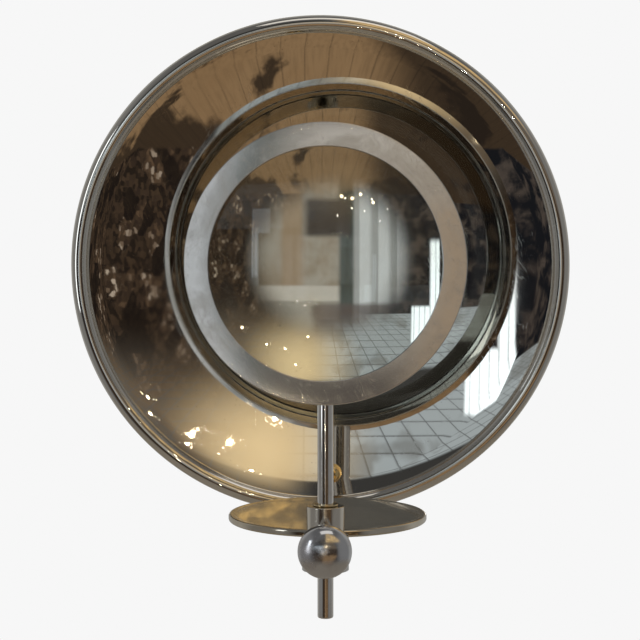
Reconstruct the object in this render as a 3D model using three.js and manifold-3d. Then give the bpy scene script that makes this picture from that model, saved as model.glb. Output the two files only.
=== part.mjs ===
// Wall-hung mirror dish with a sliding magnifying lens and a small tray, as separate pieces.
// Millimetres, +Z up. The wall is the plane Y = 0 and the front of the object looks along -Y.
// The origin is on the wall, behind the vertical line of the arm, at the height of the dish's centre.
import * as THREE from 'three';
import { mergeVertices } from 'three/addons/utils/BufferGeometryUtils.js';
import Module from 'manifold-3d';

const wasm = await Module();
wasm.setup();

// ---------- driving dimensions ----------
const GAP = 0.3;                    // clearance between pieces that touch on the real object
const FINE = 48;                    // facets round the big turned pieces
const COARSE = 24;                  // facets round the small ones

const DISH_X = -6.5;                // the dish's axis hangs this far to the left of the arm's
const DISH_RADIUS = 170;            // over the rolled rim
const DISH_SHEET = 1.2;
const DISH_CURVE = 700;             // radius of the shallow middle of the bowl
const DISH_MIDDLE = 148;            // how far out the shallow middle reaches
const DISH_EDGE_ANGLE = THREE.MathUtils.degToRad(15);  // slope of the bowl where it meets the rim
const BEAD_RADIUS = 6;              // rolled rim, wound round a wire
const BEAD_TILT = THREE.MathUtils.degToRad(8);         // where on the bead the bowl joins it
const BEAD_END = THREE.MathUtils.degToRad(-135);       // where the roll stops, behind the bowl
const WIRE_RADIUS = 4.2;
const LIP_OUT = 50;                 // front of the rim, from the wall

const BAR_THICK = 5;                // wall bar
const BAR_HALF_WIDTH = 17;
const BAR_TOP = 62;
const BAR_BOTTOM = -184;
const BAR_CORNER = 12;
const KEYHOLES = [44, -104];        // heights of the two hanging holes
const KEYHOLE_HEAD = 4.6;           // radius of the wide part, which passes over a screw's head
const KEYHOLE_NECK = 2.4;
const KEYHOLE_RISE = 9;             // from the wide part up to the end of the slot
const HUB_RADIUS = 18;
const HUB_TAP = 10;                 // depth of the screw hole in the hub

const DOME_X = 2.5;                 // the domed screw through the bottom of the bowl
const DOME_HEIGHT = -142.4;
const DOME_RADIUS = 5;
const SCREW_RADIUS = 2;
const SINK_RADIUS = 4.4;            // countersink of the hub screw, in the back of the bar
const SINK_LAND = 0.4;
const SINK_DEPTH = 2.6;
const SPACER_RADIUS = 6;

const ROD_OUT = 192;                // the lens rod's axis, from the wall
const ROD_RADIUS = 4.7;
const ROD_BOTTOM = -206;
const LENS_HEIGHT = 2.9;            // centre of the lens ring, above the dish's centre
const RING_RADIUS = 82.7;
const RING_OPENING = 68.5;
const RING_WALL = 3.4;
const RING_DEPTH = 11;
const RING_FLANGE = 3;              // front flange of the ring
const GASKET_OPENING = 75;
const GASKET_THICK = 1.2;
const GASKET_SEAT = 2;              // room for the gasket between flange and glass at the rim
const GLASS_RADIUS = 79;
const GLASS_EDGE = 3;               // thickness of the glass at its rim
const GLASS_CURVE = 400;            // radius of both faces of the lens
const RETAINER_OPENING = 77;
const RETAINER_THICK = 1.5;

const CLAMP_TOP = -139.6;
const CLAMP_RADIUS = 11.1;
const SHOULDER = -156.9;            // the clamp body steps out to its flange here
const SEAM = -168.7;                // the flange sits on the arm's eye here
const CLAMP_BOTTOM = -177.4;
const FLANGE_RADIUS = 13.8;
const SPIGOT_RADIUS = 8.5;
const LINER_RADIUS = 6.2;
const LINER_BORE = 5;
const LINER_COLLAR = 7.4;           // collar that keeps the liner from dropping through
const COLLAR_THICK = 0.9;
const NUT_RADIUS = 10.7;
const NUT_THICK = 2.2;

const ARM_HALF_WIDTH = 10;
const ARM_THICK = 5;
const ARM_TOP = -171.5;
const FOOT_TOP = -150.5;            // top of the arm's foot on the wall bar
const FOOT_HALF_WIDTH = 15;
const FOOT_SCREWS = [-8, 8];
const FOOT_SCREW_HEIGHT = -160;
const FOOT_SCREW_HEAD = 3.6;

const TRAY_OUT = 114.5;             // the tray's centre, from the wall
const TRAY_RADIUS = 63.2;
const TRAY_THICK = 4.5;
const TRAY_TOP = -157;
const TRAY_ROUND = 1.6;             // rounding of the tray's edge
const TRAY_TAP = 3;                 // depth of the screw hole under the tray
const TRAY_SINK = 4.6;              // countersink of the tray's screw, under the arm
const PILLAR_RADIUS = 10;

const KNOB_HEIGHT = -162.3;
const KNOB_RADIUS = 15.7;
const KNOB_BACK = 16.6;             // back of the knob's neck, from the rod's axis
const KNOB_NECK = 3;
const KNOB_NECK_RADIUS = 6.5;
const KNOB_FLARE = 2.4;             // the back of the head slopes out over this length
const KNOB_RIM = 1.2;
const KNOB_DOME = 10.5;             // height of the domed front
const STUD_RADIUS = 2.5;
const STUD_IN_KNOB = 4;
const PAD_RADIUS = 2.2;
const PAD_LENGTH = 2.4;

// ---------- materials ----------
const finishes = {
  mirrorNickel: { color: 0xb9aa92, metalness: 1, roughness: 0.08 },
  satinSteel: { color: 0xb4b3ae, metalness: 1, roughness: 0.38 },
  chrome: { color: 0xc9c6c0, metalness: 1, roughness: 0.1 },
  pewter: { color: 0x918d88, metalness: 1, roughness: 0.25 },
  brass: { color: 0xc79a4a, metalness: 1, roughness: 0.2 },
  darkSteel: { color: 0x5a5856, metalness: 1, roughness: 0.5 },
  rubber: { color: 0x2a2a28, metalness: 0, roughness: 0.8 },
  glass: { color: 0xe6efec, metalness: 0, roughness: 0.02, transparent: true, opacity: 0.35 },
};

// ---------- helpers ----------
const object = new THREE.Group();

// One closed solid from any closed geometry, with its faces turned outwards.
function toSolid(geometry) {
  let shape = geometry.index ? geometry.toNonIndexed() : geometry.clone();
  shape.deleteAttribute('normal');
  shape.deleteAttribute('uv');
  shape = mergeVertices(shape, 1e-4);
  const triangles = [];
  const index = shape.index.array;
  for (let i = 0; i < index.length; i += 3) {
    const [a, b, c] = [index[i], index[i + 1], index[i + 2]];
    if (a !== b && b !== c && c !== a) triangles.push(a, b, c);
  }
  const build = (list) => new wasm.Manifold(new wasm.Mesh({
    numProp: 3,
    vertProperties: new Float32Array(shape.attributes.position.array),
    triVerts: new Uint32Array(list),
  }));
  const solid = build(triangles);
  if (solid.volume() > 0) return solid;
  for (let i = 0; i < triangles.length; i += 3) {
    [triangles[i + 1], triangles[i + 2]] = [triangles[i + 2], triangles[i + 1]];
  }
  return build(triangles);
}

function toGeometry(solid) {
  const mesh = solid.getMesh();
  const geometry = new THREE.BufferGeometry();
  geometry.setAttribute('position', new THREE.BufferAttribute(new Float32Array(mesh.vertProperties), 3));
  geometry.setIndex(new THREE.BufferAttribute(new Uint32Array(mesh.triVerts), 1));
  return geometry;
}

// Adds one named piece, made of a solid or of a plain closed geometry.
function piece(name, shape, finish) {
  const solid = shape instanceof THREE.BufferGeometry ? toSolid(shape) : shape;
  const mesh = new THREE.Mesh(toGeometry(solid), new THREE.MeshStandardMaterial(finishes[finish]));
  mesh.name = name;
  object.add(mesh);
}

const points = (pairs) => pairs.map(([r, h]) => new THREE.Vector2(r, h));

// Turned about a vertical axis at distance `out` from the wall: profile of [radius, height].
function turnedUpright(profile, out, facets = COARSE) {
  return new THREE.LatheGeometry(points(profile), facets).rotateX(Math.PI / 2).translate(0, -out, 0);
}

// Turned about an axis square to the wall: profile of [radius, distance from the wall].
function turnedOutward(profile, x, height, facets = COARSE) {
  return new THREE.LatheGeometry(points(profile), facets).rotateX(Math.PI).translate(x, 0, height);
}

// A round hole or shank square to the wall, from `near` to `far`.
const roundOutward = (radius, near, far, x, height, facets = COARSE) =>
  turnedOutward([[0, near], [radius, near], [radius, far], [0, far]], x, height, facets);

const roundUpright = (radius, low, high, out, facets = COARSE) =>
  turnedUpright([[0, low], [radius, low], [radius, high], [0, high]], out, facets);

// A washer, sleeve or ring: closed rectangle profile.
const sleeve = (inner, outer, low, high) =>
  [[inner, low], [outer, low], [outer, high], [inner, high], [inner, low]];

// Points along an arc of a circle about [r, h], from one angle to another.
function arc(centre, radius, from, to, steps) {
  return Array.from({ length: steps + 1 }, (_, i) => {
    const angle = from + (to - from) * i / steps;
    return [centre[0] + radius * Math.cos(angle), centre[1] + radius * Math.sin(angle)];
  });
}

// ---------- the bowl's section ----------
const BEAD = [DISH_RADIUS - BEAD_RADIUS, LIP_OUT - BEAD_RADIUS];
const joinRadius = BEAD[0] - BEAD_RADIUS * Math.cos(BEAD_TILT);
const joinOut = BEAD[1] - BEAD_RADIUS * Math.sin(BEAD_TILT);
const middleAngle = Math.asin(DISH_MIDDLE / DISH_CURVE);
const sideCurve = (joinRadius - DISH_MIDDLE) / (Math.sin(DISH_EDGE_ANGLE) - Math.sin(middleAngle));
const sideRise = sideCurve * (Math.cos(middleAngle) - Math.cos(DISH_EDGE_ANGLE));
const bowlBottom = joinOut - sideRise - DISH_CURVE * (1 - Math.cos(middleAngle));

// The bowl's front face, or with `offset` a face behind it, from the axis to the rim.
function bowlFace(offset, steps) {
  const middleCentre = [0, bowlBottom + DISH_CURVE];
  const sideCentre = [
    DISH_MIDDLE - sideCurve * Math.sin(middleAngle),
    middleCentre[1] - (DISH_CURVE - sideCurve) * Math.cos(middleAngle),
  ];
  const down = -Math.PI / 2;
  const middle = arc(middleCentre, DISH_CURVE + offset, down, down + middleAngle, steps);
  const side = arc(sideCentre, sideCurve + offset, down + middleAngle, down + DISH_EDGE_ANGLE, steps);
  middle[0][0] = 0;
  return [...middle, ...side.slice(1)];
}

// How far the bowl's back face stands out from the wall, at a distance from the bowl's axis.
function bowlBackAt(radius) {
  const face = bowlFace(DISH_SHEET, 60);
  const i = face.findIndex(([r]) => r >= radius);
  return face[i][1];
}

// ---------- wall bar and dish ----------
function wallBar() {
  const end = BAR_CORNER;
  const outline = new THREE.Shape();
  outline.moveTo(-BAR_HALF_WIDTH, BAR_BOTTOM + end);
  outline.absarc(-BAR_HALF_WIDTH + end, BAR_BOTTOM + end, end, Math.PI, 1.5 * Math.PI);
  outline.absarc(BAR_HALF_WIDTH - end, BAR_BOTTOM + end, end, 1.5 * Math.PI, 2 * Math.PI);
  outline.absarc(BAR_HALF_WIDTH - end, BAR_TOP - end, end, 0, 0.5 * Math.PI);
  outline.absarc(-BAR_HALF_WIDTH + end, BAR_TOP - end, end, 0.5 * Math.PI, Math.PI);
  outline.closePath();
  for (const height of KEYHOLES) {
    const meet = Math.asin(KEYHOLE_NECK / KEYHOLE_HEAD);
    const hole = new THREE.Path();
    hole.absarc(0, height, KEYHOLE_HEAD, 0.5 * Math.PI + meet, 2.5 * Math.PI - meet);
    hole.absarc(0, height + KEYHOLE_RISE, KEYHOLE_NECK, 0, Math.PI);
    hole.closePath();
    outline.holes.push(hole);
  }
  const bar = new THREE.ExtrudeGeometry(outline, { depth: BAR_THICK, bevelEnabled: false, curveSegments: 8 });
  let solid = toSolid(bar.rotateX(Math.PI / 2));
  const screwHole = SCREW_RADIUS + GAP;
  const through = [-1, BAR_THICK + 1];
  const sink = [
    [0, through[0]], [SINK_RADIUS, through[0]], [SINK_RADIUS, SINK_LAND], [screwHole, SINK_DEPTH],
    [screwHole, through[1]], [0, through[1]],
  ];
  solid = solid.subtract(toSolid(turnedOutward(sink, DISH_X, 0)));
  solid = solid.subtract(toSolid(roundOutward(screwHole, ...through, DOME_X, DOME_HEIGHT)));
  for (const x of FOOT_SCREWS) {
    solid = solid.subtract(toSolid(roundOutward(screwHole, ...through, x, FOOT_SCREW_HEIGHT)));
  }
  return solid;
}
piece('wall_bar', wallBar(), 'darkSteel');

const hubFront = bowlBottom - DISH_SHEET - GAP;
const hubBack = BAR_THICK + GAP;
const hubHole = SCREW_RADIUS + GAP;
const tapEnd = hubBack + HUB_TAP;
piece('dish_hub', turnedOutward([
  [0, tapEnd + 0.5], [hubHole, tapEnd], [hubHole, hubBack], [HUB_RADIUS, hubBack], [HUB_RADIUS, hubFront - 1],
  [HUB_RADIUS - 1, hubFront], [0, hubFront],
], DISH_X, 0), 'brass');
const screwBack = 0.3;
const hubScrewHead = SINK_RADIUS - 0.4;
piece('hub_screw', turnedOutward([
  [0, screwBack], [hubScrewHead, screwBack], [hubScrewHead, screwBack + GAP], [SCREW_RADIUS, SINK_DEPTH],
  [SCREW_RADIUS, tapEnd - GAP], [0, tapEnd - GAP],
], DISH_X, 0), 'darkSteel');

function dish() {
  const steps = 5;
  const turn = 9;
  const front = bowlFace(0, steps);
  const start = Math.PI + BEAD_TILT;
  const section = [
    ...front.slice(0, -1),
    ...arc(BEAD, BEAD_RADIUS, start, BEAD_END, turn),
    ...arc(BEAD, BEAD_RADIUS - DISH_SHEET, BEAD_END, start, turn),
    ...bowlFace(DISH_SHEET, steps).toReversed(),
  ];
  const solid = toSolid(turnedOutward(section, DISH_X, 0, FINE));
  return solid.subtract(toSolid(roundOutward(SCREW_RADIUS + GAP, 0, LIP_OUT, DOME_X, DOME_HEIGHT)));
}
piece('dish', dish(), 'mirrorNickel');
const wireSection = arc(BEAD, WIRE_RADIUS, 0, 2 * Math.PI, 10);
wireSection[wireSection.length - 1] = wireSection[0];
piece('rim_wire', turnedOutward(wireSection, DISH_X, 0, FINE), 'darkSteel');

// ---------- the domed screw that ties the bottom of the bowl to the wall bar ----------
const domeRadiusOnDish = Math.hypot(DOME_X - DISH_X, DOME_HEIGHT);
const domeSlope = Math.asin(domeRadiusOnDish / DISH_CURVE);
const domeSurface = bowlBackAt(domeRadiusOnDish) + DISH_SHEET / Math.cos(domeSlope);

function dishSpacer() {
  const behind = [...bowlFace(DISH_SHEET + GAP, 12), [DISH_RADIUS, 2 * LIP_OUT], [0, 2 * LIP_OUT]];
  const profile = sleeve(SCREW_RADIUS + GAP, SPACER_RADIUS, BAR_THICK + GAP, LIP_OUT);
  const tube = toSolid(turnedOutward(profile, DOME_X, DOME_HEIGHT));
  return tube.subtract(toSolid(turnedOutward(behind, DISH_X, 0, FINE)));
}
piece('dish_spacer', dishSpacer(), 'brass');

const WASHER_THICK = 0.8;
const tilted = (geometry) => geometry.rotateX(Math.PI - domeSlope).translate(DOME_X, -domeSurface, DOME_HEIGHT);
piece('dome_washer', tilted(new THREE.LatheGeometry(
  points(sleeve(SCREW_RADIUS + 0.7, DOME_RADIUS + 1, GAP, GAP + WASHER_THICK)), COARSE)), 'brass');
const ballOut = domeSurface + (DOME_RADIUS + WASHER_THICK + 2 * GAP) / Math.cos(domeSlope);
const ballStart = Math.asin(SCREW_RADIUS / DOME_RADIUS) - Math.PI / 2;
piece('dome_screw', turnedOutward([
  [0, 0.5], [SCREW_RADIUS, 0.5],
  ...arc([0, ballOut], DOME_RADIUS, ballStart, Math.PI / 2, 10).slice(0, -1),
  [0, ballOut + DOME_RADIUS],
], DOME_X, DOME_HEIGHT), 'brass');

// ---------- arm ----------
const armBottom = ARM_TOP - ARM_THICK;

function block(xHalf, near, far, low, high) {
  const box = new THREE.BoxGeometry(2 * xHalf, far - near, high - low);
  return toSolid(box.translate(0, -(near + far) / 2, (low + high) / 2));
}

function arm() {
  const footNear = BAR_THICK + GAP;
  let solid = block(ARM_HALF_WIDTH, footNear, ROD_OUT, armBottom, ARM_TOP);
  solid = solid.add(block(FOOT_HALF_WIDTH, footNear, footNear + ARM_THICK, armBottom, FOOT_TOP));
  solid = solid.add(toSolid(roundUpright(FLANGE_RADIUS, CLAMP_BOTTOM, SEAM - GAP, ROD_OUT, FINE)));
  solid = solid.subtract(toSolid(roundUpright(SPIGOT_RADIUS + GAP, CLAMP_BOTTOM - 1, SEAM + 1, ROD_OUT)));
  solid = solid.subtract(toSolid(roundUpright(
    NUT_RADIUS + GAP, CLAMP_BOTTOM - 1, CLAMP_BOTTOM + NUT_THICK + 2 * GAP, ROD_OUT)));
  const sink = [
    [0, armBottom - 1], [TRAY_SINK, armBottom - 1], [TRAY_SINK, armBottom + SINK_LAND],
    [STUD_RADIUS + GAP, armBottom + SINK_DEPTH], [STUD_RADIUS + GAP, ARM_TOP + 1], [0, ARM_TOP + 1],
  ];
  solid = solid.subtract(toSolid(turnedUpright(sink, TRAY_OUT)));
  for (const x of FOOT_SCREWS) {
    solid = solid.subtract(toSolid(roundOutward(SCREW_RADIUS + GAP, 0, 4 * ARM_THICK, x, FOOT_SCREW_HEIGHT)));
  }
  return solid;
}
piece('arm', arm(), 'satinSteel');

const footFront = BAR_THICK + GAP + ARM_THICK + GAP;
['arm_screw_left', 'arm_screw_right'].forEach((name, i) => {
  const head = FOOT_SCREW_HEAD;
  piece(name, turnedOutward([
    [0, 0.5], [SCREW_RADIUS, 0.5], [SCREW_RADIUS, footFront], [head, footFront],
    [head, footFront + 1.4], [head - 1, footFront + 2.3], [0, footFront + 2.5],
  ], FOOT_SCREWS[i], FOOT_SCREW_HEIGHT), 'darkSteel');
});

// ---------- tray on its pillar ----------
function tray() {
  const low = TRAY_TOP - TRAY_THICK;
  const round = TRAY_ROUND;
  const holeTop = low + TRAY_TAP;
  return turnedUpright([
    [0, holeTop + 0.6], [STUD_RADIUS + GAP, holeTop], [STUD_RADIUS + GAP, low],
    ...arc([TRAY_RADIUS - round, low + round], round, -Math.PI / 2, 0, 3),
    ...arc([TRAY_RADIUS - round, TRAY_TOP - round], round, 0, Math.PI / 2, 3),
    [0, TRAY_TOP],
  ], TRAY_OUT, FINE);
}
piece('tray', tray(), 'mirrorNickel');
const pillarTop = TRAY_TOP - TRAY_THICK - GAP;
piece('tray_pillar', turnedUpright(
  sleeve(STUD_RADIUS + GAP, PILLAR_RADIUS, ARM_TOP + GAP, pillarTop), TRAY_OUT), 'satinSteel');
const trayScrewHead = TRAY_SINK - 0.4;
const trayScrewBase = armBottom + 0.2;
const trayScrewEnd = TRAY_TOP - TRAY_THICK + TRAY_TAP - 2 * GAP;
piece('tray_screw', turnedUpright([
  [0, trayScrewBase], [trayScrewHead, trayScrewBase], [trayScrewHead, trayScrewBase + GAP],
  [STUD_RADIUS, armBottom + SINK_DEPTH + 0.1], [STUD_RADIUS, trayScrewEnd], [0, trayScrewEnd],
], TRAY_OUT), 'darkSteel');

// ---------- clamp ----------
function clampBody() {
  const bore = LINER_RADIUS + GAP;
  const chamfer = 0.8;
  const solid = toSolid(turnedUpright([
    [bore, CLAMP_BOTTOM + 1], [SPIGOT_RADIUS, CLAMP_BOTTOM + 1], [SPIGOT_RADIUS, SEAM], [FLANGE_RADIUS, SEAM],
    [FLANGE_RADIUS, SHOULDER - chamfer], [FLANGE_RADIUS - chamfer, SHOULDER], [CLAMP_RADIUS, SHOULDER],
    [CLAMP_RADIUS, CLAMP_TOP - chamfer], [CLAMP_RADIUS - chamfer, CLAMP_TOP],
    [bore, CLAMP_TOP], [bore, CLAMP_BOTTOM + 1],
  ], ROD_OUT, FINE));
  const hole = roundOutward(STUD_RADIUS + GAP, ROD_OUT + 2, ROD_OUT + FLANGE_RADIUS + 2, 0, KNOB_HEIGHT);
  return solid.subtract(toSolid(hole));
}
piece('clamp_body', clampBody(), 'chrome');
const collarLow = CLAMP_TOP + GAP;
piece('clamp_liner', turnedUpright([
  [LINER_BORE, CLAMP_BOTTOM + 1], [LINER_RADIUS, CLAMP_BOTTOM + 1], [LINER_RADIUS, collarLow],
  [LINER_COLLAR, collarLow], [LINER_COLLAR, collarLow + COLLAR_THICK], [LINER_BORE, collarLow + COLLAR_THICK],
  [LINER_BORE, CLAMP_BOTTOM + 1],
], ROD_OUT), 'brass');
const nutLow = CLAMP_BOTTOM + GAP;
piece('clamp_ring_nut', turnedUpright(
  sleeve(SPIGOT_RADIUS + GAP, NUT_RADIUS, nutLow, nutLow + NUT_THICK), ROD_OUT), 'darkSteel');

// ---------- clamping knob, screwed in from the front ----------
const DOME_STEPS = 8;
const alongKnob = (r, t) => [r, ROD_OUT + t];
const studHole = STUD_RADIUS + GAP;
const neckEnd = KNOB_BACK + KNOB_NECK;
const studEnd = neckEnd + STUD_IN_KNOB;
const rimBack = neckEnd + KNOB_FLARE;
const domeStart = rimBack + KNOB_RIM;
piece('knob_head', turnedOutward([
  alongKnob(0, studEnd + 1.4), alongKnob(studHole, studEnd + 0.6), alongKnob(studHole, KNOB_BACK),
  alongKnob(KNOB_NECK_RADIUS, KNOB_BACK), alongKnob(KNOB_NECK_RADIUS, neckEnd),
  alongKnob(KNOB_RADIUS - 2.2, neckEnd + 0.6), alongKnob(KNOB_RADIUS, rimBack),
  ...Array.from({ length: DOME_STEPS }, (_, i) => {
    const angle = (i / DOME_STEPS) * Math.PI / 2;
    return alongKnob(KNOB_RADIUS * Math.cos(angle), domeStart + KNOB_DOME * Math.sin(angle));
  }),
  alongKnob(0, domeStart + KNOB_DOME),
], 0, KNOB_HEIGHT, FINE), 'pewter');
const padFar = LINER_RADIUS + GAP + 0.2 + PAD_LENGTH;
piece('knob_stud', turnedOutward([
  alongKnob(0, padFar + GAP), alongKnob(STUD_RADIUS, padFar + GAP),
  alongKnob(STUD_RADIUS, studEnd), alongKnob(0, studEnd),
], 0, KNOB_HEIGHT), 'darkSteel');
piece('knob_pad', turnedOutward([
  alongKnob(0, padFar - PAD_LENGTH), alongKnob(PAD_RADIUS, padFar - PAD_LENGTH),
  alongKnob(PAD_RADIUS, padFar), alongKnob(0, padFar),
], 0, KNOB_HEIGHT), 'brass');

// ---------- lens, ring and rod ----------
const ringFront = ROD_OUT + RING_DEPTH / 2;
const ringBack = ROD_OUT - RING_DEPTH / 2;
const flangeBack = ringFront - RING_FLANGE;
const ringInner = RING_RADIUS - RING_WALL;
const edge = 0.6;
piece('lens_ring', turnedOutward([
  [ringInner, ringBack], [RING_RADIUS - edge, ringBack], [RING_RADIUS, ringBack + edge],
  [RING_RADIUS, ringFront - edge], [RING_RADIUS - edge, ringFront], [RING_OPENING + edge, ringFront],
  [RING_OPENING, ringFront - edge], [RING_OPENING, flangeBack], [ringInner, flangeBack], [ringInner, ringBack],
], 0, LENS_HEIGHT, FINE), 'satinSteel');

const gasketFront = flangeBack - GAP;
const glassFront = gasketFront - GASKET_SEAT - GAP;
const glassBack = glassFront - GLASS_EDGE;
piece('lens_gasket', turnedOutward(
  sleeve(GASKET_OPENING, GLASS_RADIUS, gasketFront - GASKET_THICK, gasketFront),
  0, LENS_HEIGHT, FINE), 'rubber');

function lensGlass() {
  const half = Math.asin(GLASS_RADIUS / GLASS_CURVE);
  const reach = GLASS_CURVE * Math.cos(half);
  const steps = 7;
  const back = arc([0, glassBack + reach], GLASS_CURVE, -Math.PI / 2, -Math.PI / 2 + half, steps);
  const front = arc([0, glassFront - reach], GLASS_CURVE, Math.PI / 2 - half, Math.PI / 2, steps);
  back[0][0] = 0;
  front[steps][0] = 0;
  return turnedOutward([...back, ...front], 0, LENS_HEIGHT, FINE);
}
piece('lens_glass', lensGlass(), 'glass');
const retainerFront = glassBack - 2 * GAP;
piece('lens_retaining_ring', turnedOutward(
  sleeve(RETAINER_OPENING, ringInner - GAP, retainerFront - RETAINER_THICK, retainerFront),
  0, LENS_HEIGHT, FINE), 'darkSteel');

function lensRod() {
  const round = 1;
  const rod = toSolid(turnedUpright([
    [0, ROD_BOTTOM], [ROD_RADIUS - round, ROD_BOTTOM], [ROD_RADIUS - 0.3, ROD_BOTTOM + 0.3],
    [ROD_RADIUS, ROD_BOTTOM + round], [ROD_RADIUS, LENS_HEIGHT - ringInner], [0, LENS_HEIGHT - ringInner],
  ], ROD_OUT));
  const ring = roundOutward(RING_RADIUS + GAP, ringBack - 2, ringFront + 2, 0, LENS_HEIGHT, FINE);
  return rod.subtract(toSolid(ring));
}
piece('lens_rod', lensRod(), 'chrome');

export default object;
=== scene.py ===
"""Wall-hung mirror dish with a sliding magnifying lens: the looks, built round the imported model.

Metres, +Z up. The wall is the plane Y = 0 and the front looks along -Y, so a distance "out" from
the wall is a negative Y.
"""

import math

import bpy
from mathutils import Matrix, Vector


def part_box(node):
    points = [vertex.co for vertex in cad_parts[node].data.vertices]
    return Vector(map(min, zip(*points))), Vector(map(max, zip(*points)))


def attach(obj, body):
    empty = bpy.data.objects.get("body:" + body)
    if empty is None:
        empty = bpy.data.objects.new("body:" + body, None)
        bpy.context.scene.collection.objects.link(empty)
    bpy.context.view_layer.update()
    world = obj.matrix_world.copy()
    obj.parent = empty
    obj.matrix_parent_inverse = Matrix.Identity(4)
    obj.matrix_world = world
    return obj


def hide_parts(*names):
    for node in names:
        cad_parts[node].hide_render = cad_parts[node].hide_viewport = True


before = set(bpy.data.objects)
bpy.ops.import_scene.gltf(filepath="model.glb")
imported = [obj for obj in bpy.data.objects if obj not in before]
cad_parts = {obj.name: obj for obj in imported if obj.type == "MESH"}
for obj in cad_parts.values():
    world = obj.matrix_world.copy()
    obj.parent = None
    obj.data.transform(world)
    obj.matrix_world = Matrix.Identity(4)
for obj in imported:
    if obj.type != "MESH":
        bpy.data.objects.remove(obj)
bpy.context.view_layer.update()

MM = 0.001
QUARTER = math.pi / 2
OUTWARD = Vector((0, -1, 0))
UPWARD = Vector((0, 0, 1))
SIDEWAYS = Vector((1, 0, 0))
SAME_PLACE = 0.001 * MM         # points closer than this are one point
GAP = 0.3 * MM                  # clearance between pieces

# ---- sizes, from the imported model


class Place:
    """The box of a CAD node: its middle, its half widths and its ends."""

    def __init__(self, node):
        self.low, self.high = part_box(node)
        self.middle = (self.low + self.high) / 2
        self.half = (self.high - self.low) / 2
        self.front, self.back = -self.low.y, -self.high.y
        self.bottom, self.top = self.low.z, self.high.z
        self.axis_out = Vector((self.middle.x, 0, self.middle.z))


DISH = Place("dish")
DISH_RADIUS = DISH.half.x
DISH_SHEET = 1.2 * MM
BOWL_CURVE = 700 * MM           # radius of the shallow middle
BOWL_MIDDLE = 148 * MM          # how far out the shallow middle reaches
BOWL_EDGE_ANGLE = math.radians(15)
BEAD_RADIUS = 6 * MM
BEAD_TILT = math.radians(8)
BEAD_END = math.radians(-135)

RING = Place("lens_ring")
RING_RADIUS = RING.half.x
RING_OPENING = 68.5 * MM
RING_WALL = 3.4 * MM
RING_FLANGE = 3 * MM
RING_FACETS = 192
RING_FACE_DEPTH = 1.2 * MM      # how far back the satin finish of the ring's face reaches
GASKET = Place("lens_gasket")
GASKET_OPENING = 75 * MM
GLASS = Place("lens_glass")
GLASS_EDGE = 3 * MM
GLASS_CURVE = 400 * MM
RETAINER = Place("lens_retaining_ring")
RETAINER_OPENING = 77 * MM
ROD = Place("lens_rod")
CLAMP = Place("clamp_body")
LINER = Place("clamp_liner")
KNOB = Place("knob_head")
TRAY = Place("tray")
DOME = Place("dome_screw")

# ---- drawing and turning


def arc(centre, radius, start, end, steps):
    """Points (radius, height) along an arc of a section."""
    angles = (start + (end - start) * i / steps for i in range(steps + 1))
    return [(centre[0] + radius * math.cos(a), centre[1] + radius * math.sin(a)) for a in angles]


def flattened_dome(radius, base, top, steps):
    """Points from the edge of a dome, of any height, to its top on the axis."""
    angles = (QUARTER * i / steps for i in range(steps))
    return [(radius * math.cos(a), base + (top - base) * math.sin(a)) for a in angles] + [(0, top)]


def sleeve(inner, outer, low, high):
    """The closed rectangle that a washer, sleeve or ring is turned from."""
    return [(inner, low), (outer, low), (outer, high), (inner, high), (inner, low)]


def primitive(name, operator, **settings):
    """Adds one of Blender's primitives, named, and applied so that its place is in its mesh."""
    bpy.ops.object.select_all(action="DESELECT")
    operator(**settings)
    piece = bpy.context.object
    piece.name = name
    piece.data.name = name
    bpy.ops.object.transform_apply(location=True, rotation=True, scale=True)
    return piece


def peg(name, centre, radius, length, vertices=48):
    """A cylinder that runs out from the wall, to cut a hole with."""
    return primitive(name, bpy.ops.mesh.primitive_cylinder_add, vertices=vertices, radius=radius,
                     depth=length, location=centre, rotation=(QUARTER, 0, 0))


def turned(name, section, centre, axis, facets=96):
    """Draws a section of (radius, distance along the axis) as a line of points and spins it round."""
    points = [centre + SIDEWAYS * r + axis * h for r, h in section]
    piece = primitive(name, bpy.ops.mesh.primitive_plane_add, size=2 * MM, location=points[0])
    bpy.ops.object.mode_set(mode="EDIT")
    bpy.ops.mesh.select_mode(type="VERT")
    bpy.ops.mesh.select_all(action="SELECT")
    bpy.ops.mesh.merge(type="CENTER")
    for here, there in zip(points, points[1:]):
        bpy.ops.mesh.extrude_region_move(TRANSFORM_OT_translate={"value": there - here})
    bpy.ops.mesh.select_all(action="SELECT")
    bpy.ops.mesh.spin(steps=facets, angle=2 * math.pi, center=centre, axis=axis)
    bpy.ops.mesh.select_all(action="SELECT")
    bpy.ops.mesh.remove_doubles(threshold=SAME_PLACE)
    bpy.ops.mesh.normals_make_consistent(inside=False)
    bpy.ops.object.mode_set(mode="OBJECT")
    return piece


def make_only(piece):
    bpy.ops.object.select_all(action="DESELECT")
    piece.select_set(True)
    bpy.context.view_layer.objects.active = piece


def soften(piece, width, segments=3, angle=30):
    """Rounds the edges sharper than `angle` with a bevel."""
    make_only(piece)
    bevel = piece.modifiers.new("rounded_edges", "BEVEL")
    bevel.width = width
    bevel.segments = segments
    bevel.limit_method = "ANGLE"
    bevel.angle_limit = math.radians(angle)
    bpy.ops.object.modifier_apply(modifier=bevel.name)


def cut(piece, cutter, operation="DIFFERENCE"):
    """Cuts (or joins) one solid with another, which is used up."""
    make_only(piece)
    boolean = piece.modifiers.new("cut", "BOOLEAN")
    boolean.operation = operation
    boolean.solver = "EXACT"
    boolean.object = cutter
    bpy.ops.object.modifier_apply(modifier=boolean.name)
    bpy.data.objects.remove(cutter)


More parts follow.
